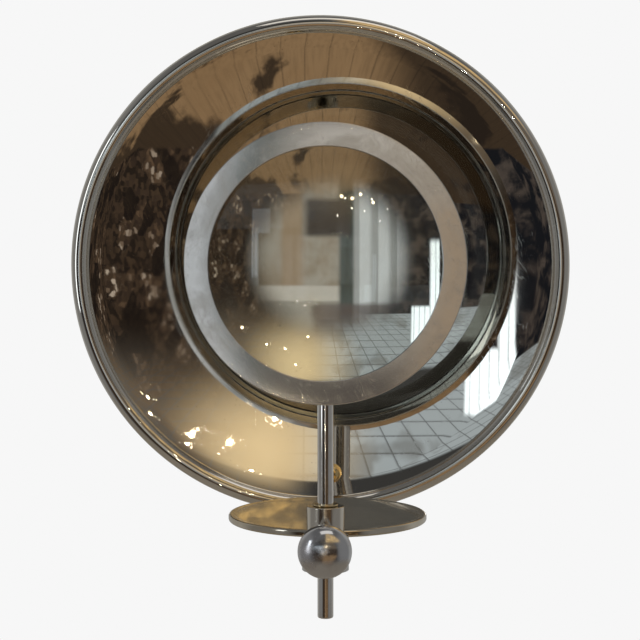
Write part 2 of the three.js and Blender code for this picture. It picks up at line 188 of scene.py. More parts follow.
def add_piece(piece, body, material, node, angle=32, flats=True):
    """Gives a finished piece its shading, finish and body, and lets it stand for its CAD node."""
    make_only(piece)
    bpy.ops.object.shade_smooth_by_angle(angle=math.radians(angle))
    if flats:
        weighted = piece.modifiers.new("flat_faces_stay_flat", "WEIGHTED_NORMAL")
        weighted.keep_sharp = True
        weighted.weight = 80
        bpy.ops.object.modifier_apply(modifier=weighted.name)
    piece.data.materials.clear()
    piece.data.materials.append(material)
    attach(piece, body)
    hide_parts(node)
    return piece


# ---- node helpers


def add(tree, kind, inputs=None, **settings):
    """Adds a node. Inputs are sockets to link or plain values."""
    made = tree.nodes.new(kind)
    for key, value in settings.items():
        setattr(made, key, value)
    for key, value in (inputs or {}).items():
        if isinstance(value, bpy.types.NodeSocket):
            tree.links.new(value, made.inputs[key])
        else:
            made.inputs[key].default_value = value
    return made


def calc(tree, operation, *values, clamp=False):
    """A Math node's result."""
    inputs = dict(enumerate(values))
    return add(tree, "ShaderNodeMath", inputs, operation=operation, use_clamp=clamp).outputs[0]


def product(tree, *factors):
    """Values multiplied one after another."""
    total = factors[0]
    for factor in factors[1:]:
        total = calc(tree, "MULTIPLY", total, factor)
    return total


def vector_calc(tree, operation, *values):
    """A Vector Math node's result."""
    keys = (0, "Scale") if operation == "SCALE" else (0, 1)
    made = add(tree, "ShaderNodeVectorMath", dict(zip(keys, values)), operation=operation)
    return made.outputs["Value" if operation == "LENGTH" else "Vector"]


def noise(tree, vector, scale, detail=2.0, roughness=0.5, distortion=0.0):
    """A Noise Texture node's value."""
    return add(tree, "ShaderNodeTexNoise", {
        "Vector": vector, "Scale": scale, "Detail": detail, "Roughness": roughness,
        "Distortion": distortion}).outputs["Fac"]


def ramp(tree, value, low, high, from_value=0.0, to_value=1.0):
    """A smooth step of `value` between low and high."""
    inputs = {"Value": value, "From Min": low, "From Max": high, "To Min": from_value, "To Max": to_value}
    return add(tree, "ShaderNodeMapRange", inputs, interpolation_type="SMOOTHSTEP").outputs["Result"]


def blend(tree, factor, first, second):
    """Two colours mixed by a factor. Each is a socket or red, green and blue."""
    made = add(tree, "ShaderNodeMix", data_type="RGBA")
    for index, value in ((0, factor), (6, first), (7, second)):
        if isinstance(value, bpy.types.NodeSocket):
            tree.links.new(value, made.inputs[index])
        else:
            made.inputs[index].default_value = (*value, 1)
    return made.outputs[2]


def new_group(name, inputs, outputs):
    """An empty node group with float inputs (a pattern vector first) and float outputs."""
    group = bpy.data.node_groups.new(name, "ShaderNodeTree")
    group.interface.new_socket("Vector", in_out="INPUT", socket_type="NodeSocketVector")
    for label, value in inputs.items():
        socket = group.interface.new_socket(label, in_out="INPUT", socket_type="NodeSocketFloat")
        socket.default_value = value
    for label in outputs:
        group.interface.new_socket(label, in_out="OUTPUT", socket_type="NodeSocketFloat")
    return group, group.nodes.new("NodeGroupInput"), group.nodes.new("NodeGroupOutput")


def turning_lines_group():
    """Fine lines that run round the Z axis of the vector, as a lathe or a buffing wheel leaves them."""
    group, given, result = new_group(
        "turning_lines", {"Lines per metre": 2500.0, "Length": 1.5}, ["Lines", "Bands"])
    parts = add(group, "ShaderNodeSeparateXYZ", {0: given.outputs["Vector"]}).outputs
    flat = add(group, "ShaderNodeCombineXYZ", {"X": parts["X"], "Y": parts["Y"]}).outputs[0]
    radius = vector_calc(group, "LENGTH", flat)
    around = vector_calc(group, "SCALE", vector_calc(group, "NORMALIZE", flat), given.outputs["Length"])
    spread = add(group, "ShaderNodeSeparateXYZ", {0: around}).outputs
    depth = calc(group, "ADD", radius, parts["Z"])
    across = product(group, depth, given.outputs["Lines per metre"])
    place = add(group, "ShaderNodeCombineXYZ", {"X": across, "Y": spread["X"], "Z": spread["Y"]}).outputs[0]
    wider = vector_calc(group, "MULTIPLY", place, (0.07, 0.6, 0.6))
    group.links.new(noise(group, place, 1.0, 3.0, 0.7), result.inputs["Lines"])
    group.links.new(noise(group, wider, 1.0), result.inputs["Bands"])
    return group


def scratches_group():
    """Straight hair scratches in three directions, kept to patches."""
    group, given, result = new_group("scratches", {"Scale": 1.0, "Amount": 0.5}, ["Scratches"])
    total = None
    for turn, stretch in ((0.4, 9.0), (1.5, 14.0), (2.5, 11.0)):
        turned_vector = add(group, "ShaderNodeMapping", {
            "Vector": given.outputs["Vector"], "Rotation": (turn, turn * 0.7, turn * 1.3)}).outputs[0]
        scaled = vector_calc(group, "SCALE", turned_vector, given.outputs["Scale"])
        squeezed = vector_calc(group, "MULTIPLY", scaled, (stretch, 1.0, stretch))
        off = calc(group, "ABSOLUTE", calc(group, "SUBTRACT", noise(group, squeezed, 22.0, 1.0, 0.4), 0.5))
        patch = ramp(group, noise(group, scaled, 28.0 + 9 * turn, 1.0), 0.52, 0.68)
        line = product(group, ramp(group, off, 0.0, 0.006, 1.0, 0.0), patch)
        total = line if total is None else calc(group, "MAXIMUM", total, line)
    total = calc(group, "MULTIPLY", total, given.outputs["Amount"], clamp=True)
    group.links.new(total, result.inputs["Scratches"])
    return group


def smudges_group():
    """Cloudy handling marks with a few finger-sized dabs, and small specks."""
    group, given, result = new_group("smudges", {"Scale": 1.0}, ["Clouds", "Specks"])
    scaled = vector_calc(group, "SCALE", given.outputs["Vector"], given.outputs["Scale"])
    dabs = add(group, "ShaderNodeTexVoronoi", {"Vector": scaled, "Scale": 38.0, "Randomness": 1.0})
    dab = ramp(group, dabs.outputs["Distance"], 0.12, 0.38, 1.0, 0.0)
    clouds = ramp(group, noise(group, scaled, 14.0, 5.0, 0.6, 0.4), 0.42, 0.68)
    both = calc(group, "ADD", clouds, product(group, dab, 0.25), clamp=True)
    dots = add(group, "ShaderNodeTexVoronoi", {"Vector": scaled, "Scale": 420.0, "Randomness": 1.0})
    speck = ramp(group, dots.outputs["Distance"], 0.05, 0.12, 1.0, 0.0)
    rare = ramp(group, noise(group, scaled, 160.0, 0.0), 0.6, 0.66)
    group.links.new(both, result.inputs["Clouds"])
    group.links.new(product(group, speck, rare), result.inputs["Specks"])
    return group


LINES = turning_lines_group()
SCRATCHES = scratches_group()
SMUDGES = smudges_group()


def new_material(name):
    """A plain material, its node tree and its shader."""
    material = bpy.data.materials.new(name)
    material.use_nodes = True
    return material, material.node_tree, material.node_tree.nodes["Principled BSDF"]


def emboss(tree, shader, height):
    """Raises the surface by up to a millimetre times the height."""
    bump = add(tree, "ShaderNodeBump", {"Strength": 1.0, "Distance": MM, "Height": height})
    tree.links.new(bump.outputs["Normal"], shader.inputs["Normal"])


def use_group(tree, group, vector, **inputs):
    made = add(tree, "ShaderNodeGroup", node_tree=group)
    tree.links.new(vector, made.inputs["Vector"])
    for label, value in inputs.items():
        made.inputs[label.replace("_", " ")].default_value = value
    return made.outputs


def about(tree, centre, axis):
    """The object's coordinates, moved and turned so that the piece's axis is Z."""
    coordinates = add(tree, "ShaderNodeTexCoord").outputs["Object"]
    moved = add(tree, "ShaderNodeMapping", {"Vector": coordinates, "Location": -centre}).outputs[0]
    turn = (QUARTER, 0, 0) if axis == OUTWARD else (0, 0, 0)
    return add(tree, "ShaderNodeMapping", {"Vector": moved, "Rotation": turn}).outputs[0]


def metal(name, centre, axis, colour, tarnish, roughness, rough_marks, lines=3000, line_depth=0.003,
          scratch=0.4, scratch_depth=0.02, scale=3.0, length=1.5):
    """A worked metal: turning lines, hair scratches, smudges and specks over a plain shader."""
    material, tree, shader = new_material(name)
    shader.inputs["Metallic"].default_value = 1.0
    vector = about(tree, centre, axis)
    line = use_group(tree, LINES, vector, Lines_per_metre=lines, Length=length)
    hair = use_group(tree, SCRATCHES, vector, Scale=scale, Amount=scratch)["Scratches"]
    marks = use_group(tree, SMUDGES, vector, Scale=scale)
    shade = calc(tree, "MULTIPLY", marks["Clouds"], line["Bands"], clamp=True)
    base = blend(tree, shade, colour, tarnish)
    dark = tuple(channel * 0.35 for channel in tarnish)
    base = blend(tree, product(tree, marks["Specks"], 0.7), base, dark)
    tree.links.new(base, shader.inputs["Base Color"])
    rough = ramp(tree, marks["Clouds"], 0.0, 1.0, roughness, roughness + rough_marks)
    rough = calc(tree, "ADD", rough, product(tree, hair, 0.12))
    rough = calc(tree, "ADD", rough, product(tree, line["Lines"], rough_marks * 0.5), clamp=True)
    tree.links.new(rough, shader.inputs["Roughness"])
    height = product(tree, line["Lines"], line_depth)
    height = calc(tree, "SUBTRACT", height, product(tree, hair, scratch_depth))
    emboss(tree, shader, height)
    return material


# ---- the dish


def bowl_section(offset, steps):
    """The bowl's front face, or a face `offset` behind it, from the axis to the rim."""
    bead = (DISH_RADIUS - BEAD_RADIUS, DISH.front - BEAD_RADIUS)
    join = (bead[0] - BEAD_RADIUS * math.cos(BEAD_TILT), bead[1] - BEAD_RADIUS * math.sin(BEAD_TILT))
    middle_angle = math.asin(BOWL_MIDDLE / BOWL_CURVE)
    side_curve = (join[0] - BOWL_MIDDLE) / (math.sin(BOWL_EDGE_ANGLE) - math.sin(middle_angle))
    side_rise = side_curve * (math.cos(middle_angle) - math.cos(BOWL_EDGE_ANGLE))
    bottom = join[1] - side_rise - BOWL_CURVE * (1 - math.cos(middle_angle))
    middle_centre = (0, bottom + BOWL_CURVE)
    side_centre = (
        BOWL_MIDDLE - side_curve * math.sin(middle_angle),
        middle_centre[1] - (BOWL_CURVE - side_curve) * math.cos(middle_angle),
    )
    middle = arc(middle_centre, BOWL_CURVE + offset, -QUARTER, -QUARTER + middle_angle, steps)
    side = arc(side_centre, side_curve + offset, -QUARTER + middle_angle, -QUARTER + BOWL_EDGE_ANGLE, steps)
    middle[0] = (0, middle[0][1])
    return middle + side[1:]


dish_centre = DISH.axis_out


def make_dish():
    """The bowl with its rolled lip, one sheet thick."""
    bead = (DISH_RADIUS - BEAD_RADIUS, DISH.front - BEAD_RADIUS)
    start = math.pi + BEAD_TILT
    section = bowl_section(0, 36)[:-1]
    section += arc(bead, BEAD_RADIUS, start, BEAD_END, 26)
    section += arc(bead, BEAD_RADIUS - DISH_SHEET, BEAD_END, start, 16)
    section += bowl_section(DISH_SHEET, 12)[::-1]
    return turned("dish_shell", section, dish_centre, OUTWARD, facets=288)


dish_metal = metal(
    "mirror_nickel", dish_centre, OUTWARD,
    colour=(0.80, 0.765, 0.70), tarnish=(0.70, 0.64, 0.55), roughness=0.006, rough_marks=0.022,
    lines=1400, line_depth=0.0003, scratch=0.55, scratch_depth=0.0012, scale=0.8, length=2.2)
add_piece(make_dish(), "base", dish_metal, "dish", flats=False)

# ---- lens, ring and rod


ring_centre = RING.axis_out


def make_ring():
    """An L-shaped ring: a wall with a flange at its front."""
    inner = RING_RADIUS - RING_WALL
    flange_back = RING.front - RING_FLANGE
    section = [
        (inner, RING.back), (RING_RADIUS, RING.back), (RING_RADIUS, RING.front), (RING_OPENING, RING.front),
        (RING_OPENING, flange_back), (inner, flange_back), (inner, RING.back),
    ]
    ring = turned("ring_frame", section, ring_centre, OUTWARD, RING_FACETS)
    soften(ring, 0.5 * MM)
    return ring


ring_face = metal(
    "satin_steel_ring", ring_centre, OUTWARD,
    colour=(0.76, 0.735, 0.70), tarnish=(0.60, 0.57, 0.53), roughness=0.075, rough_marks=0.07,
    lines=5200, line_depth=0.003, scratch=0.9, scratch_depth=0.008, scale=1.6, length=2.5)
ring_back = metal(
    "polished_steel_ring", ring_centre, OUTWARD,
    colour=(0.76, 0.75, 0.72), tarnish=(0.60, 0.59, 0.55), roughness=0.025, rough_marks=0.04,
    lines=2200, line_depth=0.0016, scratch=0.5, scratch_depth=0.002, scale=1.6, length=2.5)
ring = add_piece(make_ring(), "lens", ring_face, "lens_ring")
ring.data.materials.append(ring_back)
for face in ring.data.polygons:
    face.material_index = int(-face.center.y < RING.front - RING_FACE_DEPTH)


def make_glass():
    """A lens with two equal domed faces and a thin cylindrical edge."""
    edge_front = GLASS_EDGE / 2 - GLASS.middle.y
    edge_back = edge_front - GLASS_EDGE
    half = math.asin(GLASS.half.x / GLASS_CURVE)
    reach = GLASS_CURVE * math.cos(half)
    back = arc((0, edge_back + reach), GLASS_CURVE, -QUARTER, -QUARTER + half, 32)
    front = arc((0, edge_front - reach), GLASS_CURVE, QUARTER - half, QUARTER, 32)
    back[0] = (0, back[0][1])
    front[-1] = (0, front[-1][1])
    glass = turned("lens_magnifier", back + front, ring_centre, OUTWARD, RING_FACETS)
    soften(glass, 0.35 * MM, segments=2, angle=40)
    return glass


def glass_material():
    """Clear, faintly green glass with smears, hair scratches and specks."""
    material, tree, shader = new_material("lens_glass")
    shader.inputs["Base Color"].default_value = (0.965, 0.985, 0.975, 1)
    shader.inputs["Transmission Weight"].default_value = 1.0
    shader.inputs["IOR"].default_value = 1.5
    vector = about(tree, ring_centre, OUTWARD)
    marks = use_group(tree, SMUDGES, vector, Scale=0.9)
    hair = use_group(tree, SCRATCHES, vector, Scale=1.2, Amount=0.6)["Scratches"]
    rough = ramp(tree, marks["Clouds"], 0.0, 1.0, 0.0, 0.035)
    rough = calc(tree, "ADD", rough, product(tree, hair, 0.08), clamp=True)
    tree.links.new(rough, shader.inputs["Roughness"])
    height = product(tree, marks["Specks"], -0.002)
    emboss(tree, shader, height)
    return material


add_piece(make_glass(), "lens", glass_material(), "lens_glass", flats=False)


def rubber_material():
    """Matt black rubber, dusty in patches."""
    material, tree, shader = new_material("gasket_rubber")
    vector = about(tree, ring_centre, OUTWARD)
    marks = use_group(tree, SMUDGES, vector, Scale=3.0)
    tree.links.new(blend(tree, marks["Clouds"], (0.03, 0.03, 0.03), (0.07, 0.068, 0.062)),
                   shader.inputs["Base Color"])
    tree.links.new(ramp(tree, marks["Clouds"], 0, 1, 0.6, 0.85), shader.inputs["Roughness"])
    emboss(tree, shader, marks["Clouds"])
    return material


gasket = turned("rim_gasket", sleeve(GASKET_OPENING, GASKET.half.x, GASKET.back, GASKET.front),
                ring_centre, OUTWARD, RING_FACETS)
soften(gasket, 0.2 * MM, segments=2)
add_piece(gasket, "lens", rubber_material(), "lens_gasket")

retainer = turned("snap_ring", sleeve(RETAINER_OPENING, RETAINER.half.x, RETAINER.back, RETAINER.front),
                  ring_centre, OUTWARD, RING_FACETS)
soften(retainer, 0.3 * MM)
dark_ring = metal(
    "dark_steel_ring", ring_centre, OUTWARD,
    colour=(0.66, 0.69, 0.68), tarnish=(0.42, 0.46, 0.45), roughness=0.04, rough_marks=0.06,
    lines=1500, line_depth=0.003, scale=2.0, length=14.0)
add_piece(retainer, "lens", dark_ring, "lens_retaining_ring")

rod_centre = Vector((ROD.middle.x, ROD.middle.y, 0))
ROD_RADIUS = ROD.half.x


def make_rod():
    """A plain round rod, rounded at its foot and coped at its head to the ring."""
    head = RING.middle.z - RING_RADIUS + RING_WALL / 2
    foot = 1.1 * MM
    section = [(0, ROD.bottom)]
    section += arc((ROD_RADIUS - foot, ROD.bottom + foot), foot, -QUARTER, 0, 6)
    section += [(ROD_RADIUS, head), (0, head)]
    rod = turned("lens_stem", section, rod_centre, UPWARD, facets=96)
    cut(rod, peg("ring_cutter", RING.middle, RING_RADIUS - 0.15 * MM, 4 * RING.half.y, 384))
    return rod


chrome = metal(
    "chrome_rod", rod_centre, UPWARD,
    colour=(0.80, 0.77, 0.73), tarnish=(0.66, 0.60, 0.52), roughness=0.06, rough_marks=0.07,
    lines=1800, line_depth=0.0012, scratch=0.7, scratch_depth=0.004, scale=2.5)
add_piece(make_rod(), "lens", chrome, "lens_rod")

# ---- clamp and its liner

CLAMP_RADIUS = 11.1 * MM
FLANGE_RADIUS = CLAMP.half.x
SHOULDER = -156.9 * MM
SEAM = -168.7 * MM
SPIGOT_RADIUS = 8.5 * MM
LINER_RADIUS = 6.2 * MM
LINER_BORE = 5 * MM
KNOB_HEIGHT = KNOB.middle.z
STUD_HOLE = 2.8 * MM


def make_clamp():
    """The clamp body, bored for the liner and cross-drilled for the knob's stud."""
    bore = LINER_RADIUS + GAP
    section = [
        (bore, CLAMP.bottom), (SPIGOT_RADIUS, CLAMP.bottom), (SPIGOT_RADIUS, SEAM),
        (FLANGE_RADIUS, SEAM), (FLANGE_RADIUS, SHOULDER), (CLAMP_RADIUS, SHOULDER),
        (CLAMP_RADIUS, CLAMP.top), (bore, CLAMP.top), (bore, CLAMP.bottom),
    ]
    clamp = turned("clamp_block", section, rod_centre, UPWARD, facets=128)
    soften(clamp, 0.6 * MM)
    front_wall = rod_centre + OUTWARD * 10 * MM + UPWARD * KNOB_HEIGHT
    cut(clamp, peg("stud_hole", front_wall, STUD_HOLE, 16 * MM))
    return clamp


warm_nickel = metal(
    "warm_nickel_clamp", rod_centre, UPWARD,
    colour=(0.74, 0.685, 0.60), tarnish=(0.60, 0.52, 0.41), roughness=0.10, rough_marks=0.10,
    scratch=0.8, scratch_depth=0.006)
add_piece(make_clamp(), "base", warm_nickel, "clamp_body")

collar_low = LINER.top - 0.9 * MM
liner = turned("clamp_bush", [
    (LINER_BORE, LINER.bottom), (LINER_RADIUS, LINER.bottom), (LINER_RADIUS, collar_low),
    (LINER.half.x, collar_low), (LINER.half.x, LINER.top), (LINER_BORE, LINER.top),
    (LINER_BORE, LINER.bottom),
], rod_centre, UPWARD, 96)
soften(liner, 0.25 * MM)
brass_bush = metal(
    "brass_bush", rod_centre, UPWARD,
    colour=(0.76, 0.62, 0.38), tarnish=(0.52, 0.37, 0.17), roughness=0.16, rough_marks=0.14)
add_piece(liner, "liner", brass_bush, "clamp_liner")

NUT = Place("clamp_ring_nut")
NUT_BORE = 8.8 * MM


def make_ring_nut():
    """A round nut with two crossing slots for a spanner in its underside."""
    nut = turned("spigot_nut", sleeve(NUT_BORE, NUT.half.x, NUT.bottom, NUT.top), rod_centre, UPWARD, 96)
    for turn in (0, QUARTER):
        slot = primitive(
            "spanner_slot", bpy.ops.mesh.primitive_cube_add, size=1,
            location=rod_centre + UPWARD * NUT.bottom, rotation=(0, 0, turn), scale=(30 * MM, 2 * MM, 2 * MM))
        cut(nut, slot)
    soften(nut, 0.2 * MM, segments=2)
    return nut


dark_steel = metal(
    "dark_steel", rod_centre, UPWARD,
    colour=(0.33, 0.325, 0.31), tarnish=(0.22, 0.21, 0.19), roughness=0.28, rough_marks=0.2,
    lines=2500, line_depth=0.005)
add_piece(make_ring_nut(), "base", dark_steel, "clamp_ring_nut")

# ---- clamping knob

knob_centre = KNOB.axis_out
KNOB_RADIUS = KNOB.half.x
STUD = Place("knob_stud")
PAD = Place("knob_pad")


def make_knob():
    """A domed head on a short neck, with a thin turned edge at its back."""
    neck_radius = 6.5 * MM
    neck_end = KNOB.back + 3 * MM
    rim = neck_end + 2.4 * MM
    dome_start = rim + 1.2 * MM
    section = [
        (0, neck_end + 5.4 * MM), (STUD_HOLE, neck_end + 4.6 * MM), (STUD_HOLE, KNOB.back),
        (neck_radius, KNOB.back), (neck_radius, neck_end), (KNOB_RADIUS - 2.2 * MM, neck_end + 0.6 * MM),
        (KNOB_RADIUS, rim), *flattened_dome(KNOB_RADIUS, dome_start, KNOB.front, 28),
    ]
    knob = turned("knob_dome", section, knob_centre, OUTWARD, facets=128)
    soften(knob, 0.4 * MM, angle=25)
    return knob


pewter = metal(
    "pewter_knob", knob_centre, OUTWARD,
    colour=(0.70, 0.70, 0.71), tarnish=(0.54, 0.49, 0.48), roughness=0.10, rough_marks=0.14,
    lines=1500, line_depth=0.004, scratch=1.0, scratch_depth=0.015, scale=3.2)
add_piece(make_knob(), "knob", pewter, "knob_head")


def make_stud():
    """The knob's threaded stud: a plain shank with V rings for the thread."""
    pitch = 0.8 * MM
    depth = 0.35 * MM
    radius = STUD.half.x
    section = [(0, STUD.back), (radius - depth, STUD.back)]
    turns = int((STUD.front - STUD.back) / pitch) - 1
    for i in range(turns):
        start = STUD.back + pitch * (i + 0.5)
        section += [(radius - depth, start), (radius, start + pitch / 2)]
    section += [(radius - depth, STUD.back + pitch * (turns + 0.5)),
                (radius - depth, STUD.front), (0, STUD.front)]
    return turned("knob_thread", section, knob_centre, OUTWARD, 48)


knob_steel = metal(
    "dark_steel_stud", knob_centre, OUTWARD,
    colour=(0.40, 0.39, 0.37), tarnish=(0.25, 0.24, 0.22), roughness=0.25, rough_marks=0.15,
    lines=2500)
add_piece(make_stud(), "knob", knob_steel, "knob_stud")
pad = turned("pressure_pad", [
    (0, PAD.back), (PAD.half.x, PAD.back), (PAD.half.x, PAD.front), (0, PAD.front),
], knob_centre, OUTWARD, 48)
soften(pad, 0.3 * MM)
brass_pad = metal(
    "brass_pad", knob_centre, OUTWARD,
    colour=(0.76, 0.60, 0.33), tarnish=(0.52, 0.37, 0.17), roughness=0.2, rough_marks=0.14)
add_piece(pad, "pad", brass_pad, "knob_pad")

# ---- tray, pillar and their screw

SLOT_WIDTH = 1 * MM
SLOT_DEPTH = 1.1 * MM
SHANK_RADIUS = 2 * MM
TRAY_SCREW_HOLE = 2.8 * MM

tray_centre = Vector((TRAY.middle.x, TRAY.middle.y, 0))


def make_tray():
    """A thin turned plate with a rolled edge that stands a little above its face."""
    radius = TRAY.half.x
    edge = 1.5 * MM
    dish_in = 0.35 * MM
    section = [(0, TRAY.bottom + 3.6 * MM), (TRAY_SCREW_HOLE, TRAY.bottom + 3 * MM),
               (TRAY_SCREW_HOLE, TRAY.bottom)]
    section += arc((radius - edge, TRAY.bottom + edge), edge, -QUARTER, 0, 8)
    section += arc((radius - edge, TRAY.top - edge), edge, 0, QUARTER, 8)
    section += [
        (radius - 2.6 * MM, TRAY.top - 0.05 * MM), (radius - 3.6 * MM, TRAY.top - dish_in * 0.7),
        (radius - 4.6 * MM, TRAY.top - dish_in), (0, TRAY.top - dish_in),
    ]
    return turned("tray_plate", section, tray_centre, UPWARD, facets=192)


tray_nickel = metal(
    "tray_nickel", tray_centre, UPWARD,
    colour=(0.74, 0.68, 0.57), tarnish=(0.58, 0.49, 0.36), roughness=0.05, rough_marks=0.07,
    lines=2600, line_depth=0.004, scratch=0.8, scratch_depth=0.006, scale=1.5)
add_piece(make_tray(), "base", tray_nickel, "tray", angle=40)

PILLAR = Place("tray_pillar")
waist = PILLAR.half.x - 1.5 * MM
pillar = turned("tray_post", [
    (TRAY_SCREW_HOLE, PILLAR.bottom), (PILLAR.half.x, PILLAR.bottom), (PILLAR.half.x, PILLAR.bottom + 2 * MM),
    (waist, PILLAR.bottom + 3 * MM), (waist, PILLAR.top - 3 * MM), (PILLAR.half.x, PILLAR.top - 2 * MM),
    (PILLAR.half.x, PILLAR.top), (TRAY_SCREW_HOLE, PILLAR.top), (TRAY_SCREW_HOLE, PILLAR.bottom),
], tray_centre, UPWARD, 96)
soften(pillar, 0.3 * MM)
satin_post = metal(
    "satin_steel_post", tray_centre, UPWARD,
    colour=(0.58, 0.57, 0.55), tarnish=(0.45, 0.43, 0.40), roughness=0.25, rough_marks=0.12,
    lines=3500, line_depth=0.004)
add_piece(pillar, "base", satin_post, "tray_pillar")


def cut_slot(screw, centre, size, turn=0.0):
    """Cuts a screwdriver slot, turned about the Y axis, and breaks the screw's sharp edges."""
    slot = primitive("driver_slot", bpy.ops.mesh.primitive_cube_add, size=1, location=centre,
                     rotation=(0, turn, 0), scale=size)
    cut(screw, slot)
    soften(screw, 0.1 * MM, segments=2, angle=40)


TRAY_SCREW = Place("tray_screw")


def make_tray_screw():
    """A countersunk screw that comes up through the arm and the pillar into the tray."""
    low = TRAY_SCREW.bottom
    head = TRAY_SCREW.half.x
    shank = 2.5 * MM
    screw = turned("tray_fixing", [
        (0, low), (head, low), (head, low + 0.3 * MM), (shank, low + 2.5 * MM), (shank, TRAY_SCREW.top),
        (0, TRAY_SCREW.top),
    ], tray_centre, UPWARD, 64)
    cut_slot(screw, tray_centre + UPWARD * low, (20 * MM, SLOT_WIDTH, 2 * SLOT_DEPTH))
    return screw


add_piece(make_tray_screw(), "base", dark_steel, "tray_screw")

# ---- arm

ARM = Place("arm")
ARM_TOP = -171.5 * MM
ARM_BOTTOM = -176.5 * MM
ARM_HALF_WIDTH = 10 * MM
FOOT_THICK = 5 * MM
FOOT_CORNER = 6 * MM
SCREW_HOLE = 2.3 * MM


def block(name, low, high):
    """A box between two corners."""
    low, high = Vector(low), Vector(high)
    return primitive(name, bpy.ops.mesh.primitive_cube_add, size=1,
                     location=(low + high) / 2, scale=high - low)


def round_corners(piece, radius, above=None):
    """Rounds the edges of a foot or plate that run out from the wall, or those above a height."""
    bpy.ops.object.mode_set(mode="EDIT")
    bpy.ops.mesh.select_mode(type="EDGE")
    bpy.ops.mesh.select_all(action="DESELECT")
    bpy.ops.object.mode_set(mode="OBJECT")
    for edge in piece.data.edges:
        a, b = (piece.data.vertices[i].co for i in edge.vertices)
        if abs(a.x - b.x) < SAME_PLACE and abs(a.z - b.z) < SAME_PLACE:
            edge.select = above is None or a.z > above
    bpy.ops.object.mode_set(mode="EDIT")
    bpy.ops.mesh.bevel(offset=radius, segments=10, affect="EDGES")
    bpy.ops.object.mode_set(mode="OBJECT")


def make_arm():
    """A flat arm with a foot on the wall bar and a bored eye for the clamp."""
    wall_side = -ARM.back
    foot_half = ARM.half.x
    arm = block("arm_forging", (-ARM_HALF_WIDTH, rod_centre.y, ARM_BOTTOM),
                (ARM_HALF_WIDTH, wall_side, ARM_TOP))
    foot = block("foot", (-foot_half, wall_side - FOOT_THICK, ARM_BOTTOM), (foot_half, wall_side, ARM.top))
    round_corners(foot, FOOT_CORNER, ARM_TOP)
    cut(arm, foot, "UNION")
    eye_top = SEAM - GAP
    eye = turned("eye", [
        (0, ARM.bottom), (FLANGE_RADIUS, ARM.bottom), (FLANGE_RADIUS, eye_top), (0, eye_top),
    ], rod_centre, UPWARD, 128)
    cut(arm, eye, "UNION")
    soften(arm, 0.6 * MM)
    under = ARM.bottom - MM
    bore = [(0, under), (NUT_BORE, under), (NUT_BORE, SEAM), (0, SEAM)]
    cut(arm, turned("eye_bore", bore, rod_centre, UPWARD, 96))
    recess_radius = 11 * MM
    recess_top = ARM.bottom + 2.8 * MM
    recess = turned("nut_recess", [
        (0, under), (recess_radius, under), (recess_radius, recess_top), (0, recess_top),
    ], rod_centre, UPWARD, 96)
    cut(arm, recess)
    sink_radius = 4.6 * MM
    sink = turned("tray_screw_sink", [
        (0, ARM_BOTTOM - MM), (sink_radius, ARM_BOTTOM - MM), (sink_radius, ARM_BOTTOM + 0.4 * MM),
        (TRAY_SCREW_HOLE, ARM_BOTTOM + 2.6 * MM), (TRAY_SCREW_HOLE, ARM_TOP + MM), (0, ARM_TOP + MM),
    ], tray_centre, UPWARD, 48)
    cut(arm, sink)
    for name in ("arm_screw_left", "arm_screw_right"):
        cut(arm, peg("foot_hole", Place(name).middle, SCREW_HOLE, 30 * MM))
    return arm


satin_arm = metal(
    "satin_steel_arm", rod_centre, UPWARD,
    colour=(0.60, 0.585, 0.56), tarnish=(0.45, 0.43, 0.40), roughness=0.22, rough_marks=0.14,
    lines=1500, line_depth=0.004, scratch=0.8, scratch_depth=0.01, scale=2.0)
add_piece(make_arm(), "base", satin_arm, "arm")


def make_foot_screw(name, node):
    """A round-headed screw with its slot at a slant."""
    place = Place(node)
    head = place.half.x
    under = place.front - 2.5 * MM
    centre = place.axis_out
    section = [(0, place.back), (SHANK_RADIUS, place.back), (SHANK_RADIUS, under), (head, under)]
    section += flattened_dome(head, under + MM, place.front, 8)
    screw = turned(name, section, centre, OUTWARD, 64)
    cut_slot(screw, centre + OUTWARD * place.front, (20 * MM, 2 * SLOT_DEPTH, SLOT_WIDTH), turn=0.5)
    return screw


for side in ("left", "right"):
    node = f"arm_screw_{side}"
    add_piece(make_foot_screw(f"foot_screw_{side}", node), "base", dark_steel, node)

# ---- wall bar and what holds the dish to it

BAR = Place("wall_bar")
HUB = Place("dish_hub")
HUB_SCREW = Place("hub_screw")
SPACER = Place("dish_spacer")
WASHER = Place("dome_washer")
BAR_CORNER = 12 * MM
KEYHOLES = (44 * MM, -104 * MM)  # heights of the two hanging holes
KEYHOLE_HEAD = 4.6 * MM
KEYHOLE_NECK = 2.4 * MM
KEYHOLE_RISE = 9 * MM
hub_centre = HUB.axis_out
dome_centre = DOME.axis_out
BALL_RADIUS = 5 * MM


def make_wall_bar():
    """The bar on the wall, with keyholes to hang by and holes for what is screwed to it."""
    bar = block("hanging_bar", BAR.low, BAR.high)
    round_corners(bar, BAR_CORNER)
    soften(bar, 0.5 * MM)
    for height in KEYHOLES:
        top = height + KEYHOLE_RISE
        keyhole = peg("keyhole", (0, 0, height), KEYHOLE_HEAD, 20 * MM, 64)
        neck = block("neck", (-KEYHOLE_NECK, -9 * MM, height), (KEYHOLE_NECK, 9 * MM, top))
        cut(keyhole, neck, "UNION")
        cut(keyhole, peg("neck_end", (0, 0, top), KEYHOLE_NECK, 18 * MM, 32), "UNION")
        cut(bar, keyhole)
    sink_radius = 4.4 * MM
    sink = turned("hub_screw_sink", [
        (0, -MM), (sink_radius, -MM), (sink_radius, 0.4 * MM), (SCREW_HOLE, 2.6 * MM), (SCREW_HOLE, 6 * MM),
        (0, 6 * MM),
    ], hub_centre, OUTWARD, 48)
    cut(bar, sink)
    for place in (DOME, Place("arm_screw_left"), Place("arm_screw_right")):
        cut(bar, peg("tapped_hole", place.axis_out, SCREW_HOLE, 20 * MM))
    return bar


